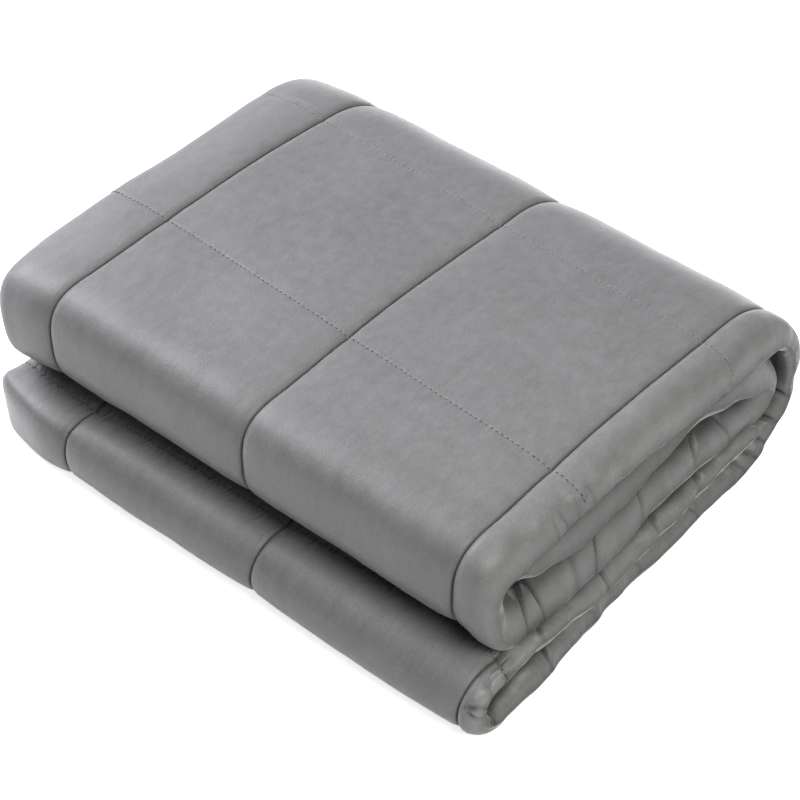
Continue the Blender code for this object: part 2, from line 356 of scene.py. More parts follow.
def lumps(along, across, size, seed):
    """Soft random lumps of about one size, from -1 to 1, at places on the cloth."""
    table = np.random.default_rng(seed).uniform(-1, 1, LUMP_GRID)
    a, b = np.broadcast_arrays(np.asarray(along) / size + LUMP_START, np.asarray(across) / size + LUMP_START)
    a0, b0 = np.floor(a).astype(int), np.floor(b).astype(int)
    fa, fb = smooth(a - a0), smooth(b - b0)

    def corner(da, db):
        return table[(a0 + da) % LUMP_GRID[0], (b0 + db) % LUMP_GRID[1]]

    low = corner(0, 0) * (1 - fa) + corner(1, 0) * fa
    high = corner(0, 1) * (1 - fa) + corner(1, 1) * fa
    return low * (1 - fb) + high * fb


class Nodes:
    """A node tree that is built node by node."""

    def __init__(self, tree):
        self.tree = tree

    def add(self, kind, **settings):
        """A node of this kind. A setting named after a socket, with _ for a space, fills or links that."""
        node = self.tree.nodes.new(kind)
        for name, value in settings.items():
            socket = name.replace("_", " ")
            if socket in node.inputs:
                self.fill(node.inputs[socket], value)
            else:
                setattr(node, name, value)
        return node

    def fill(self, socket, value):
        """Set a socket, or link it to another node's socket. A node stands for its first output."""
        if isinstance(value, bpy.types.Node):
            value = value.outputs[0]
        if isinstance(value, bpy.types.NodeSocket):
            self.tree.links.new(value, socket)
        else:
            socket.default_value = value

    def math(self, operation, a, b=0.0):
        node = self.add("ShaderNodeMath", operation=operation)
        self.fill(node.inputs[0], a)
        self.fill(node.inputs[1], b)
        return node.outputs[0]


# ==== the folded path
class FoldPath:
    """The middle line of the cloth, seen from its hem: straight runs and half turns, end to end."""

    def __init__(self):
        self.pieces = []
        self.run_start, self.run_end = [], []
        self.length = 0.0
        start_y = START.end_y
        for place, run in enumerate(RUNS):
            self.run_start.append(self.length)
            self._add("run", place, abs(run.end_y - start_y), start_y)
            self.run_end.append(self.length)
            following = RUNS[min(place + 1, len(RUNS) - 1)]
            if following.height != run.height:
                self._add("turn", place, math.pi * abs(following.height - run.height) / 2, run.end_y)
            start_y = run.end_y

    def _add(self, kind, place, length, start_y):
        self.pieces.append((kind, place, self.length, length, start_y))
        self.length += length

    def at(self, along):
        """Y, Z, and the outward direction (Y, Z) of the outer side, for distances along the cloth."""
        y, z, out_y, out_z = (np.zeros_like(along) for _ in range(4))
        for kind, place, start, length, start_y in self.pieces:
            here = (along >= start - 1e-9) & (along <= start + length + 1e-9)
            share = (along[here] - start) / length
            run = RUNS[place]
            if kind == "run":
                forward = math.copysign(1.0, run.end_y - start_y)
                angle = np.pi * share
                slope = forward * run.arch * np.pi * np.cos(angle) / length
                y[here] = start_y + (run.end_y - start_y) * share
                z[here] = run.height + run.arch * np.sin(angle)
                out_y[here], out_z[here] = -slope, forward
                continue
            following = RUNS[place + 1]
            radius = abs(following.height - run.height) / 2
            side = 1 if following.end_y < run.end_y else -1
            upward = 1 if following.height > run.height else -1
            turned = np.sin(np.pi * share), np.cos(np.pi * share)
            y[here] = run.end_y + side * radius * turned[0]
            z[here] = (following.height + run.height) / 2 - upward * radius * turned[1]
            out_y[here], out_z[here] = side * turned[0], -upward * turned[1]
        size = np.hypot(out_y, out_z)
        return y, z, out_y / size, out_z / size

    def squareness(self, along, place):
        """How far the cloth stands outside a round fold: at the left hem (0) or in the middle (1)."""
        outside = np.zeros_like(along)
        for kind, number, start, length, _ in self.pieces:
            if kind == "run" or RUNS[number].name not in SQUARE_FOLDS:
                continue
            here = (along >= start) & (along <= start + length)
            turned = np.pi * (along[here] - start) / length
            low, high = SQUARE_FOLDS[RUNS[number].name][place]
            power = np.where(turned < np.pi / 2, low, high)
            reach = (np.abs(np.sin(turned)) ** power + np.abs(np.cos(turned)) ** power) ** (-1 / power)
            outside[here] = (reach - 1) * (length / np.pi + CROWN)
        return outside

    def on_run(self, name, y):
        """The distance along the cloth at which a run passes this y."""
        place = PLACE[name]
        start_y = RUNS[place - 1].end_y if place else START.end_y
        return self.run_start[place] + abs(y - start_y)

    def on_turn(self, name, share):
        """The distance at this share of the fold that comes after a run."""
        place = PLACE[name]
        return self.run_end[place] + (self.run_start[place + 1] - self.run_end[place]) * share

    def spot(self, row):
        """The distance that a row of one of the tables stands for."""
        return self.on_run(row.run, row.y) if row.turn is None else self.on_turn(row.run, row.turn)

    def column(self, along, name):
        """A column of the table of runs, at distances along the cloth."""
        places = [0.0] + self.run_end
        values = [getattr(row, name) for row in (START,) + RUNS]
        return np.interp(along, places, values)


def cross_seams(path):
    """The seams across the cloth: those on top, the tight one on the low fold, and the hidden ones."""
    front_top = path.on_run("top", FRONT_SEAM_Y)
    back_top = path.on_run("top", BACK_SEAM_Y)
    low_fold = path.on_run("lower top", LOW_FOLD_SEAM_Y)
    hidden = [*np.arange(front_top - SEAM_PITCH, SEAMLESS, -SEAM_PITCH),
              *np.arange(low_fold + SEAM_PITCH, path.length - SEAMLESS, SEAM_PITCH)]
    spine = [back_top + (low_fold - back_top) * cell / HIDDEN_CELLS for cell in range(1, HIDDEN_CELLS)]
    return {"top": [front_top, back_top], "tight": [low_fold], "spine": spine, "hidden": hidden}


# ==== the cloth's shape
class Cloth:
    """Where every point of the cloth's two sides is, from its place along and across the cloth."""

    def __init__(self):
        self.path = FoldPath()
        self.seams = cross_seams(self.path)
        self.hem_spots = [self.path.spot(row) for row in RIGHT_HEM]
        self.left_spots = [self.path.spot(row) for row in LEFT_HEM]

    def guides(self, along):
        """X of the left hem, the three long seams and the right hem: one row for each distance."""
        names = ("left", "drift", "stray", "right")
        left, drift, stray, right = (self.path.column(along, name) for name in names)
        seams = [seam + drift + (stray if seam == 0 else 0) for seam in LONG_SEAMS]
        return np.stack([left] + seams + [right], axis=1)

    def lean(self, along, y):
        """How far the cloth leans: not at all between the two seams on top."""
        lean = self.path.column(along, "lean")
        place = PLACE["top"]
        on_top = (along > self.path.run_start[place]) & (along < self.path.run_end[place])
        fold_y = np.where(y > 0, RUNS[place].end_y, -RUNS[place - 1].end_y)
        share = np.clip((np.abs(y) - TOP_SEAM_Y) / (fold_y - TOP_SEAM_Y), 0, 1)
        return np.where(on_top, lean * share, lean)

    def hem(self, along, name):
        """A column of the right hem's table."""
        return eased(along, self.hem_spots, [getattr(row, name) for row in RIGHT_HEM])[:, None]

    def left_hem(self, along, name):
        """A column of the left hem's table."""
        return eased(along, self.left_spots, [getattr(row, name) for row in LEFT_HEM])[:, None]

    def seam_drop(self, along, x, guides):
        """How far the cloth's side lies below its full height, because of the quilting."""
        to_long = np.min(np.abs(x[..., None] - guides[:, None, 1:4]), axis=-1)
        drop = LONG_HOLLOW * fading(to_long, LONG_HOLLOW_REACH)
        drop += LONG_CLEFT * (1 - rounded(to_long, LONG_CLEFT_REACH))
        for kind, seams in self.seams.items():
            tight = kind == "tight"
            hollow = (TIGHT_HOLLOW, TIGHT_HOLLOW_REACH) if tight else (CROSS_HOLLOW, CROSS_HOLLOW_REACH)
            cleft = (TIGHT_CLEFT, TIGHT_CLEFT_REACH) if tight else (CROSS_CLEFT, CROSS_CLEFT_REACH)
            for seam in seams:
                away = np.abs(along - seam)[:, None]
                drop = drop + hollow[0] * fading(away, hollow[1]) + cleft[0] * (1 - rounded(away, cleft[1]))
        return drop

    def fullness(self, along, x, guides, side):
        """Half the thickness of the cloth on one side."""
        place = along[:, None]
        half = CROWN - self.seam_drop(along, x, guides) + UNEVEN * lumps(place, x, *LUMPS[side])
        stretch, slant, turn = CREASE_SLANT
        half += CREASE * lumps(stretch * place + slant * x, x + turn * place, *LUMPS["crease"])
        half += RIPPLE * lumps(place, x, *LUMPS["ripple"])
        from_left, from_right = x - guides[:, :1], guides[:, -1:] - x
        near_right = smooth(1.4 * fading(from_right, FILL_REACH) ** 0.5)
        half *= 1 + (self.hem(along, side) - 1) * near_right
        for pleat, across, away in self.pleats(along, from_right, side):
            half = half - pleat.depth * across * bell(away, pleat.width)
        gathers = lumps(place, x, *LUMPS["gathers"]) + WIDE_GATHERS * lumps(place, x, *LUMPS["wide gathers"])
        half = half * (1 + RUFFLE * self.hem(along, "ruffle") * gathers * fading(from_right, RUFFLE_REACH))
        half = np.maximum(half, EDGE_HALF)
        right_nose = np.minimum(RIGHT_NOSE[side], (guides[:, -1:] - guides[:, -2:-1]) * 0.9)
        left, right = rounded(from_left - RIM, LEFT_NOSE), rounded(from_right - RIM, right_nose)
        rolled = rounded(np.minimum(from_left, from_right), EDGE_ROLL)
        edge = EDGE_HALF * (RIM_SHARE + (1 - RIM_SHARE) * rolled)
        ends = rounded(np.minimum(place, self.path.length - place), FREE_NOSE)
        return edge + (half - EDGE_HALF) * left * right * ends

    def pleats(self, along, from_right, side):
        """Each pleat of a side, how strong it is across the cloth, and how far off its line a point is."""
        for pleat in PLEATS[side]:
            across = smooth(from_right / min(5 * MM, 0.3 * pleat.reach)) * (1 - PLEAT_MOUTH) + PLEAT_MOUTH
            across = across * (1 - smooth(from_right / (pleat.reach * 0.5) - 1))
            yield pleat, across, along[:, None] - self.path.spot(pleat) - pleat.slant * from_right

    def points(self, along, x, side):
        """The points of one side: a row for each distance along, a column for each place across."""
        guides = self.guides(along)
        y, z, out_y, out_z = (v[:, None] for v in self.path.at(along))
        half = self.fullness(along, x, guides, side) * (1 if side == "outer" else -1)
        from_left, from_right = x - guides[:, :1], guides[:, -1:] - x
        near_left, near_right = fading(from_left, LEFT_REACH), fading(from_right, RIGHT_REACH)
        left = fading(from_left, SQUARE_REACH) ** 0.5
        square = self.path.squareness(along, 0)[:, None] * left
        square = square + self.path.squareness(along, 1)[:, None] * (1 - left)
        y, z = y + out_y * square, z + out_z * square
        wander = lumps(along[:, None], 0 * x, *LUMPS["hem's line"]) * fading(from_right, WANDER_REACH)
        wander = WANDER * wander * self.hem(along, "ruffle")
        px = x + near_right * self.hem(along, "out") + wander + near_left * self.left_hem(along, "out")
        py = y + self.lean(along, y[:, 0])[:, None] * x + out_y * half
        py = py + near_right * self.hem(along, "back") + near_left * self.left_hem(along, "back")
        near_seam = smooth(1 - np.abs(along - self.seams["tight"][0]) / SLIDE_REACH)[:, None]
        py = py + near_seam * (SLIDE + SLIDE_SLANT * x) * smooth(from_right / SLIDE_REACH)
        inside = smooth((np.minimum(from_left, from_right) - TUCK_FROM) / TUCK_FROM)
        py = py - TUCK * smooth(1 - along / TUCK_REACH)[:, None] * inside
        tongue_end = self.path.run_end[PLACE["tongue"]]
        slack = smooth(0.6 + along / TUCK_REACH) * smooth((tongue_end - along) / SLACK_END)
        slack = SLACK * slack[:, None] * inside * np.sin(2 * np.pi * x / SLACK_WAVE)
        pz = z + out_z * half + slack + wander - near_right * self.hem(along, "down")
        pz = np.maximum(pz - near_left ** LEFT_SAG * self.left_hem(along, "down"), 0.0)
        return np.stack([px - PACK_MIDDLE[0], py - PACK_MIDDLE[1], pz], axis=-1)


# ==== the mesh of the blanket
def thinned(distances, gap):
    """These distances without the ones that lie within this gap after the last one kept."""
    kept = [distances[0]]
    for distance in distances[1:]:
        if distance - kept[-1] > gap:
            kept.append(distance)
    return kept


def row_distances(cloth):
    """Distances along the cloth of the mesh's rows: dense at seams, pleats and folds."""
    path = cloth.path
    fixed = list(END_ROWS)
    fixed += [path.length - step for step in fixed]
    for kind, seams in cloth.seams.items():
        steps = SEAM_ROWS if kind != "hidden" else SEAM_ROWS[::3]
        fixed += [seam + step * way for seam in seams for step in steps for way in (1, -1)]
    for pleat in OUTER_PLEATS + INNER_PLEATS:
        ends = sorted((0.0, pleat.slant * pleat.reach * 0.6))
        spots = np.arange(ends[0] - 2.4 * pleat.width, ends[1] + 2.5 * pleat.width, 0.8 * pleat.width)
        fixed += (path.spot(pleat) + spots).tolist()
    fixed = np.array(thinned(sorted(set(round(distance, 6) for distance in fixed)), FIXED_GAP))
    plain = []
    for kind, place, start, length, _ in path.pieces:
        step = ROW_STEP[RUNS[place].name][kind == "turn"]
        count = math.ceil(length / step)
        for share in range(count + 1):
            distance = start + length * share / count
            if np.min(np.abs(fixed - distance)) > ROW_GAP * step:
                plain.append(distance)
    kept = thinned(sorted(list(fixed) + plain), LEAST_GAP)
    kept[-1] = path.length
    return np.array(kept)


def columns(guides, plain, near_seam):
    """X of every column of one side, with more of them beside the seams and the hems."""
    found = []
    last = len(plain) - 1
    for bay, count in enumerate(plain):
        low, high = guides[:, bay], guides[:, bay + 1]
        squeeze = np.minimum(1.0, (high - low) / NARROWEST_BAY)
        before = NEAR_LEFT_EDGE if bay == 0 else near_seam
        after = NEAR_RIGHT_EDGE if bay == last else near_seam
        found.append(low)
        found += [low + step * squeeze for step in before]
        first, final = low + before[-1] * squeeze, high - after[-1] * squeeze
        found += [first + (final - first) * (k + 1) / (count + 1) for k in range(count)]
        found += [high - step * squeeze for step in reversed(after)]
    found.append(guides[:, -1])
    return np.stack(found, axis=1)


def grid_faces(rows, count, first, flip):
    """Quads between the points of one side, whose point numbers start at first."""
    corner = first + np.arange(rows - 1)[:, None] * count + np.arange(count - 1)[None, :]
    quads = np.stack([corner, corner + 1, corner + 1 + count, corner + count], axis=-1).reshape(-1, 4)
    return (quads[:, ::-1] if flip else quads).tolist()


def zipped(one, other):
    """Triangles between two lines of points that share their ends, with different counts."""
    faces = []
    i = j = 0
    last, other_last = len(one) - 1, len(other) - 1
    while i < last or j < other_last:
        if j == other_last or (i < last and (i + 1) * other_last <= (j + 1) * last):
            faces.append((one[i], one[i + 1], other[j]))
            i += 1
        else:
            faces.append((one[i], other[j + 1], other[j]))
            j += 1
    return [face for face in faces if len(set(face)) == 3]


def blanket_mesh(cloth):
    """The whole cloth as one closed mesh, with its flat pattern as a UV map in metres."""
    rows = row_distances(cloth)
    guides = cloth.guides(rows)
    outer_x, inner_x = columns(guides, OUTER_BAYS, NEAR_SEAM), columns(guides, INNER_BAYS, NEAR_SEAM[1::3])
    outer, inner = cloth.points(rows, outer_x, "outer"), cloth.points(rows, inner_x, "inner")
    count, inner_count, height = outer.shape[1], inner.shape[1], len(rows)
    points = np.concatenate([outer.reshape(-1, 3), inner.reshape(-1, 3)])
    first_inner = count * height
    faces = grid_faces(height, count, 0, flip=False)
    faces += grid_faces(height, inner_count, first_inner, flip=True)
    outer_at = np.arange(first_inner).reshape(height, count)
    inner_at = first_inner + np.arange(height * inner_count).reshape(height, inner_count)
    for column, flip in ((0, False), (-1, True)):
        hem = np.stack([outer_at[:-1, column], outer_at[1:, column],
                        inner_at[1:, column], inner_at[:-1, column]], axis=1)
        faces += (hem[:, ::-1] if flip else hem).tolist()
    for row, flip in ((0, True), (-1, False)):
        end = zipped(outer_at[row].tolist(), inner_at[row].tolist())
        faces += [face[::-1] for face in end] if flip else end
    mesh = bpy.data.meshes.new("quilted_blanket_cloth")
    mesh.from_pydata(points.tolist(), [], faces)
    mesh.validate()
    flat = np.concatenate([np.stack([x + middle, rows[:, None] + 0 * x], axis=-1).reshape(-1, 2)
                           for x, middle in zip((outer_x, inner_x), FLAT_MIDDLES)])
    corners = np.empty(len(mesh.loops), dtype=np.int64)
    mesh.loops.foreach_get("vertex_index", corners)
    layer = mesh.uv_layers.new(name="cloth")
    layer.data.foreach_set("uv", flat[corners].astype(np.float32).ravel())
    mark_cloth(mesh, cloth, rows, guides, outer_x, inner_x)
    mesh.shade_smooth()
    return mesh


def mark_cloth(mesh, cloth, rows, guides, outer_x, inner_x):
    """Store where the cloth is gathered, where it gets painted shade or painted highlights, and how deep it
    lies between layers, which gives it more painted shade.
    """
    path = cloth.path
    marks = {"gather_across": [], "gather_hem": [], "painted_crease_shade": [], "painted_recess_shade": [], "brushed": []}
    tight = np.abs(rows - cloth.seams["tight"][0])[:, None]
    loose = [np.abs(rows - seam) for seam in cloth.seams["top"] + cloth.seams["spine"]]
    loose = np.min(loose, axis=0)[:, None]
    tongue_end = path.run_end[PLACE["tongue"]]
    to_low_fold, to_lip, to_ledge = (np.abs(rows - place)[:, None] for place in (
        path.on_turn("bottom", 0.5), path.on_turn("bottom", LIP_TURN), path.on_run("lower top", LEDGE_Y)))
    for side, x in (("outer", outer_x), ("inner", inner_x)):
        from_left, from_right = x - guides[:, :1], guides[:, -1:] - x
        from_end = np.minimum(from_right, from_left)
        to_long = np.min(np.abs(x[..., None] - guides[:, None, 1:4]), axis=-1)
        gathered = fading(tight, TIGHT_REACH) + LOOSE_GATHERS * fading(loose, LOOSE_REACH)
        marks["gather_across"].append(gathered + 0 * x)
        gathered = fading(np.minimum(from_right, from_left * LEFT_GATHERS), HEM_REACH)
        gathered = gathered * cloth.hem(rows, "ruffle") + LONG_GATHERS * fading(to_long, LONG_REACH)
        marks["gather_hem"].append(gathered)

        # Painted shade: dark lines in the clefts of the long seams and the tight seam, at the right rim and
        # at the bottom of each pleat, where shade falls.
        dark = bell(to_long, LONG_LINE) + TIGHT_DARK * bell(tight, TIGHT_LINE)
        dark = dark + RIM_DARK * bell(from_right, RIM_LINE)
        for pleat, strength, away in cloth.pleats(rows, from_right, side):
            dark = dark + strength * pleat.depth / DARKEST_PLEAT * bell(away, 0.8 * pleat.width)
        marks["painted_crease_shade"].append(dark)

        # Painted shade deep between the layers, on the tongue and inside the low front fold, where little
        # light reaches.
        tongue = TONGUE_DEPTH * smooth((tongue_end - rows) / TONGUE_FADE)[:, None] * (side == "outer")
        low_fold = smooth(LOW_FOLD_DEPTH - to_low_fold / LOW_FOLD_FADE) * (side == "inner")
        covered = (rows < tongue_end) | (rows > path.on_run("lower top", COVERED_Y)) | (side == "inner")
        deep = smooth((from_end - DEEP_FROM) / DEEP_REACH) * covered[:, None]
        marks["painted_recess_shade"].append(deep + tongue + low_fold)

        # Painted highlights on the hems, on the ledge before the upper pack and on the lip of the low front
        # fold.
        light = HEM_LIGHT * smooth((HEM_LIGHT_END - from_end) / HEM_LIGHT_FADE)
        light = light + LEDGE_LIGHT * smooth(1 - to_ledge / LEDGE_REACH)
        light = light + LIP_LIGHT * bell(from_right, LIP_WIDTH) * smooth(1.5 - to_lip / LIP_REACH)
        marks["brushed"].append(light * (side == "outer"))
    for name, values in marks.items():
        attribute = mesh.attributes.new(name, "FLOAT", "POINT")
        values = np.concatenate([value.ravel() for value in values])
        attribute.data.foreach_set("value", np.clip(values, 0, 1).astype(np.float32))


# ==== the sewing
def sewn_line(cloth, along, x):
    """Points along a line on the cloth's outer side, and the way the cloth faces at each of them."""
    def at(more_along, more_x):
        return cloth.points(along + more_along, (x + more_x)[:, None], "outer")[:, 0]

    reach = 1.2 * MM
    over = at(0, reach) - at(0, -reach)
    onward = at(reach, 0) - at(-reach, 0)
    facing = np.cross(over, onward)
    facing /= np.linalg.norm(facing, axis=1)[:, None]
    return at(0, 0) + facing * THREAD_LIFT, facing


def seam_lines(cloth):
    """The sewn lines that show: those across the cloth, and the three along it, none on the floor side."""
    path, seams = cloth.path, cloth.seams
    across = []
    for distance in seams["top"] + seams["tight"] + seams["spine"][:1]:
        guides = cloth.guides(np.array([distance]))[0]
        x = np.arange(guides[0] + SEAM_END, guides[-1] - SEAM_END, LINE_STEP)
        across.append(sewn_line(cloth, np.full(len(x), distance), x))
    stretches = ((path.on_run("upper bottom", SEWN_FROM_Y), path.on_turn("top", SEWN_TO_TURN)),
                 (path.on_turn("bottom", SEWN_FROM_TURN), path.on_run("lower top", SEWN_TO_Y)))
    lengthwise = []
    for first, last in stretches:
        along = np.arange(first, last, LINE_STEP)
        for seam in (1, 2, 3):
            lengthwise.append(sewn_line(cloth, along, cloth.guides(along)[:, seam]))
    return across, lengthwise


def stitch_tree():
    """Geometry Nodes that lay one thread and one dark needle-hole bead of painted shade for each stitch
    along the lines.
    """
    tree = bpy.data.node_groups.new("stitches_along_a_seam", "GeometryNodeTree")
    floats = ("Pitch", "Thread Length", "Thread Width", "Hole Length", "Hole Width", "Unevenness")
    for name, kind in ([("Seams", "Geometry")] + [(name, "Float") for name in floats]
                       + [("Seed", "Int"), ("Thread", "Material"), ("Hole", "Material")]):
        tree.interface.new_socket(name, in_out="INPUT", socket_type="NodeSocket" + kind)
    tree.interface.new_socket("Stitches", in_out="OUTPUT", socket_type="NodeSocketGeometry")
    nodes = Nodes(tree)
    given = nodes.add("NodeGroupInput").outputs

    def bead(part, shift):
        """A small rounded bead of the thread's or the hole's size, moved along by a share of the pitch."""
        ball = nodes.add("GeometryNodeMeshUVSphere", Segments=8, Rings=5, Radius=0.5)
        length, width = given[part + " Length"], given[part + " Width"]
        size = nodes.add("ShaderNodeCombineXYZ", X=length, Y=width, Z=width)
        place = nodes.add("ShaderNodeCombineXYZ", X=nodes.math("MULTIPLY", given["Pitch"], shift))
        return nodes.add("GeometryNodeTransform", Geometry=ball, Scale=size, Translation=place)

    hole = nodes.add("GeometryNodeStoreNamedAttribute", data_type="BOOLEAN", domain="FACE", Name=HOLE_MARK,
                     Value=True, Geometry=bead("Hole", 0.5))
    stitch = nodes.add("GeometryNodeJoinGeometry", Geometry=bead("Thread", 0.0))
    nodes.fill(stitch.inputs[0], hole)

    curve = nodes.add("GeometryNodeMeshToCurve", Mesh=given["Seams"])
    spaced = nodes.add("GeometryNodeResampleCurve", mode="LENGTH", Curve=curve, Length=given["Pitch"])
    facing = nodes.add("GeometryNodeInputNamedAttribute", data_type="FLOAT_VECTOR", Name="facing")
    turned = nodes.add("FunctionNodeAxesToRotation", primary_axis="Z", secondary_axis="X",
                       Primary_Axis=facing, Secondary_Axis=nodes.add("GeometryNodeInputTangent"))
    varied = nodes.add("FunctionNodeRandomValue", data_type="FLOAT", Seed=given["Seed"])
    nodes.fill(varied.inputs[2], nodes.math("SUBTRACT", 1.0, given["Unevenness"]))
    nodes.fill(varied.inputs[3], nodes.math("ADD", 1.0, given["Unevenness"]))
    placed = nodes.add("GeometryNodeInstanceOnPoints", Points=spaced, Instance=stitch, Rotation=turned,
                       Scale=varied.outputs[1])
    real = nodes.add("GeometryNodeRealizeInstances", Geometry=placed)
    soft = nodes.add("GeometryNodeSetShadeSmooth", Geometry=real)
    threads = nodes.add("GeometryNodeSetMaterial", Geometry=soft, Material=given["Thread"])
    is_hole = nodes.add("GeometryNodeInputNamedAttribute", data_type="BOOLEAN", Name=HOLE_MARK)
    holes = nodes.add("GeometryNodeSetMaterial", Geometry=threads, Selection=is_hole, Material=given["Hole"])
    nodes.add("NodeGroupOutput", Stitches=holes)
    return tree


def sew(name, lines, tree, settings):
    """Stitches along these lines, as one plain mesh on the blanket's body."""
    points, facing = (np.concatenate(parts) for parts in zip(*lines))
    edges, first = [], 0
    for line, _ in lines:
        edges += [(first + step, first + step + 1) for step in range(len(line) - 1)]
        first += len(line)
    guide = bpy.data.meshes.new(name + "_lines")
    guide.from_pydata(points.tolist(), edges, [])
    facings = guide.attributes.new("facing", "FLOAT_VECTOR", "POINT")
    facings.data.foreach_set("vector", facing.astype(np.float32).ravel())
    marked = in_scene(name + "_lines", guide)
    modifier = marked.modifiers.new("stitches", "NODES")
    modifier.node_group = tree
    for socket in tree.interface.items_tree:
        if socket.in_out == "INPUT" and socket.name in settings:
            modifier[socket.identifier] = settings[socket.name]
    bpy.context.view_layer.update()
    mesh = bpy.data.meshes.new_from_object(marked.evaluated_get(bpy.context.evaluated_depsgraph_get()))
    bpy.data.objects.remove(marked)
    mesh.attributes.remove(mesh.attributes[HOLE_MARK])
    mesh.name = name
    piece = in_scene(name, mesh)
    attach(piece, "root")


def sew_the_seams(cloth):
    """Light threads with dark needle-hole beads of painted shade across the cloth; along it, threads
    darkened with painted shade, as deep in the seams.
    """
    tree = stitch_tree()
    across, lengthwise = seam_lines(cloth)
    sizes = {"Pitch": STITCH_PITCH, "Thread Length": 1.9 * MM, "Thread Width": 0.62 * MM,
             "Hole Length": 1.25 * MM, "Hole Width": 0.78 * MM, "Unevenness": 0.10, "Seed": 5}
    # Painted shade: the needle holes are dark beads, and the threads along the long seams are a darker copy
    # of the grey thread.
    hole = thread_finish("painted_hole_shade", (0.045, 0.045, 0.048))
    thread = thread_finish("grey_thread", (0.22, 0.22, 0.225))
    faint = thread_finish("faint_painted_hole_shade", (0.12, 0.12, 0.124))
    sew("front_and_low_seam_stitches", [across[0], across[2]], tree,
        {**sizes, "Thread": thread, "Hole": hole})
    sew("back_seam_stitches", [across[1]] + across[3:], tree,
        {**sizes, "Hole Width": 0.6 * MM, "Seed": 6, "Thread": thread, "Hole": faint})
    sew("long_seam_stitches", lengthwise, tree,
        {**sizes, "Thread Width": 0.5 * MM, "Hole Width": 0.6 * MM, "Seed": 8,
         "Thread": thread_finish("thread_in_painted_shade", (0.10, 0.10, 0.104)), "Hole": hole})


# ==== finishes
CLOTH_COLOUR = (0.190, 0.189, 0.194)
SEAM_SHADE, RECESS_SHADE = 0.72, 0.66  # painted shade: how much darker the cloth is made in seams, pleats and at the right rim, and deep between layers


class Finish(Nodes):
    """A material that is built node by node."""

    def __init__(self, name):
        self.material = bpy.data.materials.new(name)
        self.material.use_nodes = True
        super().__init__(self.material.node_tree)
        self.shader = self.tree.nodes["Principled BSDF"].inputs

    def surface(self, **settings):
        """Fill or link these sockets of the shader."""
        for name, value in settings.items():
            self.fill(self.shader[name.replace("_", " ")], value)

    def attribute(self, name):
        return self.add("ShaderNodeAttribute", attribute_name=name).outputs["Fac"]

    def noise(self, place, size, detail=2.0, roughness=0.5):
        """Noise from 0 to 1 whose grains have this size, (along U, along V), in metres."""
        spread = self.add("ShaderNodeMapping", Vector=place, Scale=(1 / size[0], 1 / size[1], 1.0))
        node = self.add("ShaderNodeTexNoise", Vector=spread, Scale=1.0, Detail=detail, Roughness=roughness)
        node.noise_dimensions = "2D"
        return node.outputs["Fac"]

    def total(self, start, *weighed):
        """A number or pattern, plus each of these patterns times its strength."""
        for pattern, strength in weighed:
            start = self.math("ADD", start, self.math("MULTIPLY", pattern, strength))
        return start

    def tint(self, colour, tone):
        """Give the surface this colour, lighter or darker by a pattern."""
        mix = self.add("ShaderNodeMix", data_type="RGBA", blend_type="MULTIPLY", Factor=1.0)
        self.fill(mix.inputs[6], (*colour, 1.0))
        self.fill(mix.inputs[7], tone)
        self.surface(Base_Color=mix.outputs[2])

    def speckle(self, colour, scale, strength):
        """Tint the surface with fine specks, of this many to the metre, and give their pattern."""
        place = self.add("ShaderNodeTexCoord").outputs["Object"]
        specks = self.add("ShaderNodeTexNoise", Vector=place, Scale=scale, Detail=2.0).outputs["Fac"]
        self.tint(colour, self.total(1 - strength / 2, (specks, strength)))
        return specks

    def bump(self, height, strength, distance):
        """Raise the surface by a pattern."""
        self.surface(Normal=self.add("ShaderNodeBump", Height=height, Strength=strength, Distance=distance))


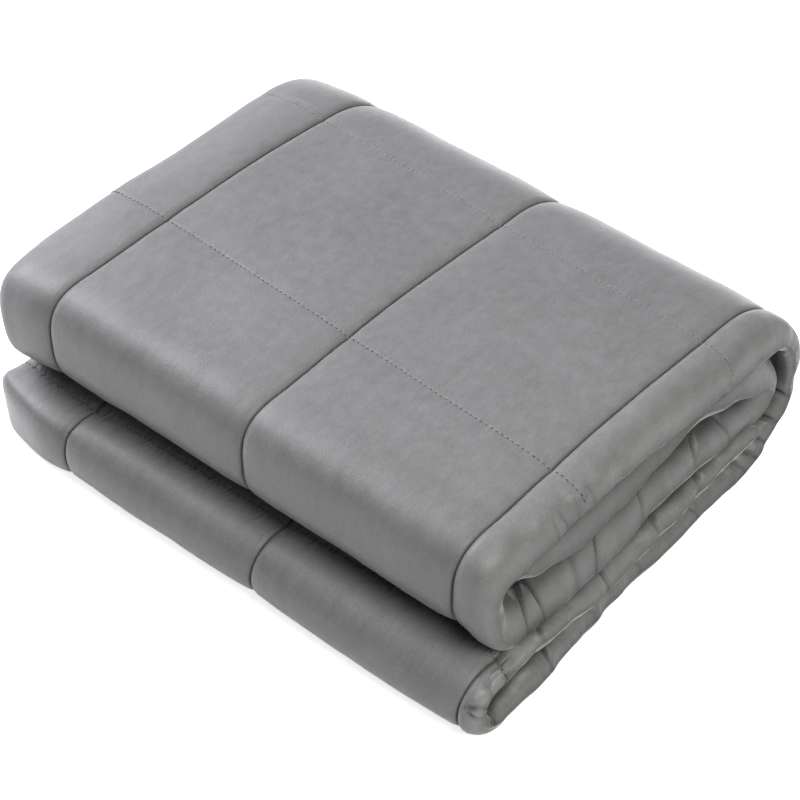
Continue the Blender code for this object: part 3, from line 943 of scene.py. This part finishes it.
def grey_cloth():
    """Smooth mid-grey brushed cloth, with its weave, its soft nap and its gathers, and with painted shade
    and painted highlights from the cloth's marks.
    """
    finish = Finish("grey_cloth")
    place = finish.add("ShaderNodeUVMap", uv_map="cloth").outputs["UV"]
    painted_crease_shade, gather_across = finish.attribute("painted_crease_shade"), finish.attribute("gather_across")

    cloud = finish.noise(place, (45 * MM, 60 * MM))
    mottle = finish.noise(place, (6 * MM, 8 * MM), detail=4.0, roughness=0.65)
    nap = finish.noise(place, (1.0 * MM, 7 * MM), detail=3.0, roughness=0.6)
    grain = finish.noise(place, (0.9 * MM, 0.9 * MM), roughness=0.7)
    tone = finish.total(1.0, *((finish.math("SUBTRACT", pattern, 0.5), strength) for pattern, strength in (
        (cloud, 0.20), (mottle, 0.42), (nap, 0.16), (grain, 0.46))))
    # Painted shade in seams, pleats and between layers, and painted highlights, multiplied into the colour.
    painted_recess_shade, brushed = finish.attribute("painted_recess_shade"), finish.attribute("brushed")
    for shade in (finish.total(1.0, (painted_crease_shade, -SEAM_SHADE)), finish.total(1.0, (painted_recess_shade, -RECESS_SHADE)),
                  finish.math("ADD", 1.0, brushed)):
        tone = finish.math("MULTIPLY", tone, shade)
    # Painted shade in the folds of the puckers beside the seams across the cloth.
    across = finish.noise(place, (1.8 * MM, 13 * MM))
    painted_pucker_shade = finish.math("MAXIMUM", finish.math("SUBTRACT", 0.48, across), 0.0)
    tone = finish.total(tone, (finish.math("MULTIPLY", painted_pucker_shade, gather_across), -2.4))
    finish.tint(CLOTH_COLOUR, tone)

    finish.surface(Roughness=finish.total(0.40, (nap, 0.12), (painted_crease_shade, 0.45)), Sheen_Weight=0.6,
                   Sheen_Roughness=0.35, Specular_IOR_Level=0.6)

    warp, weft = (finish.add("ShaderNodeTexWave", wave_type="BANDS", bands_direction=way, Vector=place,
                             Scale=540.0).outputs["Fac"] for way in "XY")
    gathers = finish.noise(place, (11 * MM, 4.2 * MM))
    streaks = finish.noise(place, (3.4 * MM, 30 * MM), detail=3.0)
    finish.bump(finish.total(
        0.0, (finish.math("MULTIPLY", warp, weft), 0.03), (nap, 0.05), (grain, 0.12), (streaks, 0.11),
        (finish.math("MULTIPLY", across, gather_across), 2.0),
        (finish.math("MULTIPLY", gathers, finish.attribute("gather_hem")), 0.9)), 1.0, 1.0 * MM)
    return finish.material


def thread_finish(name, colour):
    """Twisted thread: fine ridges and a soft sheen."""
    finish = Finish(name)
    finish.bump(finish.speckle(colour, 2600.0, 0.5), 0.6, 0.1 * MM)
    finish.surface(Roughness=0.55, Sheen_Weight=0.3)
    return finish.material


def pale_floor():
    """Matt white paint that glows a little, so that the floor is as pale as the photograph's."""
    finish = Finish("pale_floor")
    finish.speckle((0.93, 0.93, 0.93), 900.0, 0.3)
    finish.surface(Roughness=0.9, Emission_Color=(1.0, 1.0, 1.0, 1.0), Emission_Strength=FLOOR_GLOW)
    return finish.material


# ==== studio
CAMERA_TARGET = (0.0548, -0.0546, 0.106)
CAMERA_AZIMUTH, CAMERA_ELEVATION = 42.558, 45.83
CAMERA_DISTANCE = 0.9345
CAMERA_LENS = 90.0
BOX_SIZE, BOX_DISTANCE, BOX_AIM = 0.7, 1.6, (0.0, 0.0, 0.05)
LOWEST_GLOSS = 30  # a soft box lower than this is hidden from glossy rays, or the top glares
SOFT_BOXES = (  # name, azimuth and elevation from the pack, power, colour
    ("low_left_light", -95, 25, 25.0, (0.92, 0.92, 1.0)),
    ("high_left_light", -82, 46, 15.5, (0.96, 0.96, 1.0)),
    ("right_light", 76, 50, 16.5, (1.0, 1.0, 0.94)),
    ("back_light", 150, 78, 2.6, (1.0, 1.0, 1.0)),
)
ROOM_LIGHT = 0.09
FLOOR_GLOW = 0.75
FLOOR_SIZE = 6.0
WALL_RADIUS, WALL_HEIGHT, WALL_SIDES = 5.5, 3.0, 96


def direction(azimuth, elevation):
    """The way from the pack towards an azimuth, 0 in front and 90 on the right, and an elevation."""
    turn, rise = math.radians(azimuth), math.radians(elevation)
    return Vector((math.sin(turn) * math.cos(rise), -math.cos(turn) * math.cos(rise), math.sin(rise)))


def place_camera():
    """The camera at the photograph's place and angle."""
    data = bpy.data.cameras.new("camera")
    data.lens = CAMERA_LENS
    data.sensor_width = 36.0
    data.clip_start = 0.01
    camera = in_scene("camera", data)
    camera.location = Vector(CAMERA_TARGET) + direction(CAMERA_AZIMUTH, CAMERA_ELEVATION) * CAMERA_DISTANCE
    camera.rotation_euler = Euler((math.radians(90 - CAMERA_ELEVATION), 0, math.radians(CAMERA_AZIMUTH)))
    bpy.context.scene.camera = camera


def light_studio():
    """Two soft boxes on the left, a weaker one on the right, and a faint one behind."""
    for name, azimuth, elevation, power, colour in SOFT_BOXES:
        data = bpy.data.lights.new(name, "AREA")
        data.shape, data.size, data.energy, data.color = "SQUARE", BOX_SIZE, power, colour
        light = in_scene(name, data)
        light.location = direction(azimuth, elevation) * BOX_DISTANCE
        light.rotation_euler = (Vector(BOX_AIM) - light.location).to_track_quat("-Z", "Y").to_euler()
        light.visible_glossy = elevation > LOWEST_GLOSS
    world = bpy.data.worlds.new("studio")
    world.use_nodes = True
    background = world.node_tree.nodes["Background"]
    background.inputs["Color"].default_value = (1.0, 1.0, 1.0, 1.0)
    background.inputs["Strength"].default_value = ROOM_LIGHT
    bpy.context.scene.world = world
    bpy.context.scene.view_settings.view_transform = "Standard"


def lay_floor():
    """A wide pale floor, and a round pale wall far off that only a view from low down shows."""
    paint = pale_floor()
    corners = [(x * FLOOR_SIZE, y * FLOOR_SIZE, 0) for x, y in ((-1, -1), (1, -1), (1, 1), (-1, 1))]
    floor = staged("floor", corners, [(0, 1, 2, 3)], paint)
    floor.visible_diffuse = False
    turns = [2 * math.pi * step / WALL_SIDES for step in range(WALL_SIDES)]
    ring = [(WALL_RADIUS * math.cos(turn), WALL_RADIUS * math.sin(turn), height)
            for height in (0.0, WALL_HEIGHT) for turn in turns]
    sides = [(step, step + WALL_SIDES, (step + 1) % WALL_SIDES + WALL_SIDES, (step + 1) % WALL_SIDES)
             for step in range(WALL_SIDES)]
    wall = staged("wall", ring, sides, paint)
    wall.visible_diffuse = wall.visible_glossy = wall.visible_shadow = False


def staged(name, points, faces, paint):
    """A piece of the studio, which isn't part of the blanket."""
    mesh = bpy.data.meshes.new(name)
    mesh.from_pydata(points, [], faces)
    mesh.materials.append(paint)
    mesh.shade_smooth()
    piece = in_scene(name, mesh)
    return piece


# ==== the scene
def main():
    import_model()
    place_camera()
    light_studio()
    lay_floor()
    cloth = Cloth()
    blanket = in_scene("folded_blanket", blanket_mesh(cloth))
    blanket.data.materials.append(grey_cloth())
    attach(blanket, "root")
    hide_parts("quilted_blanket")
    sew_the_seams(cloth)


main()
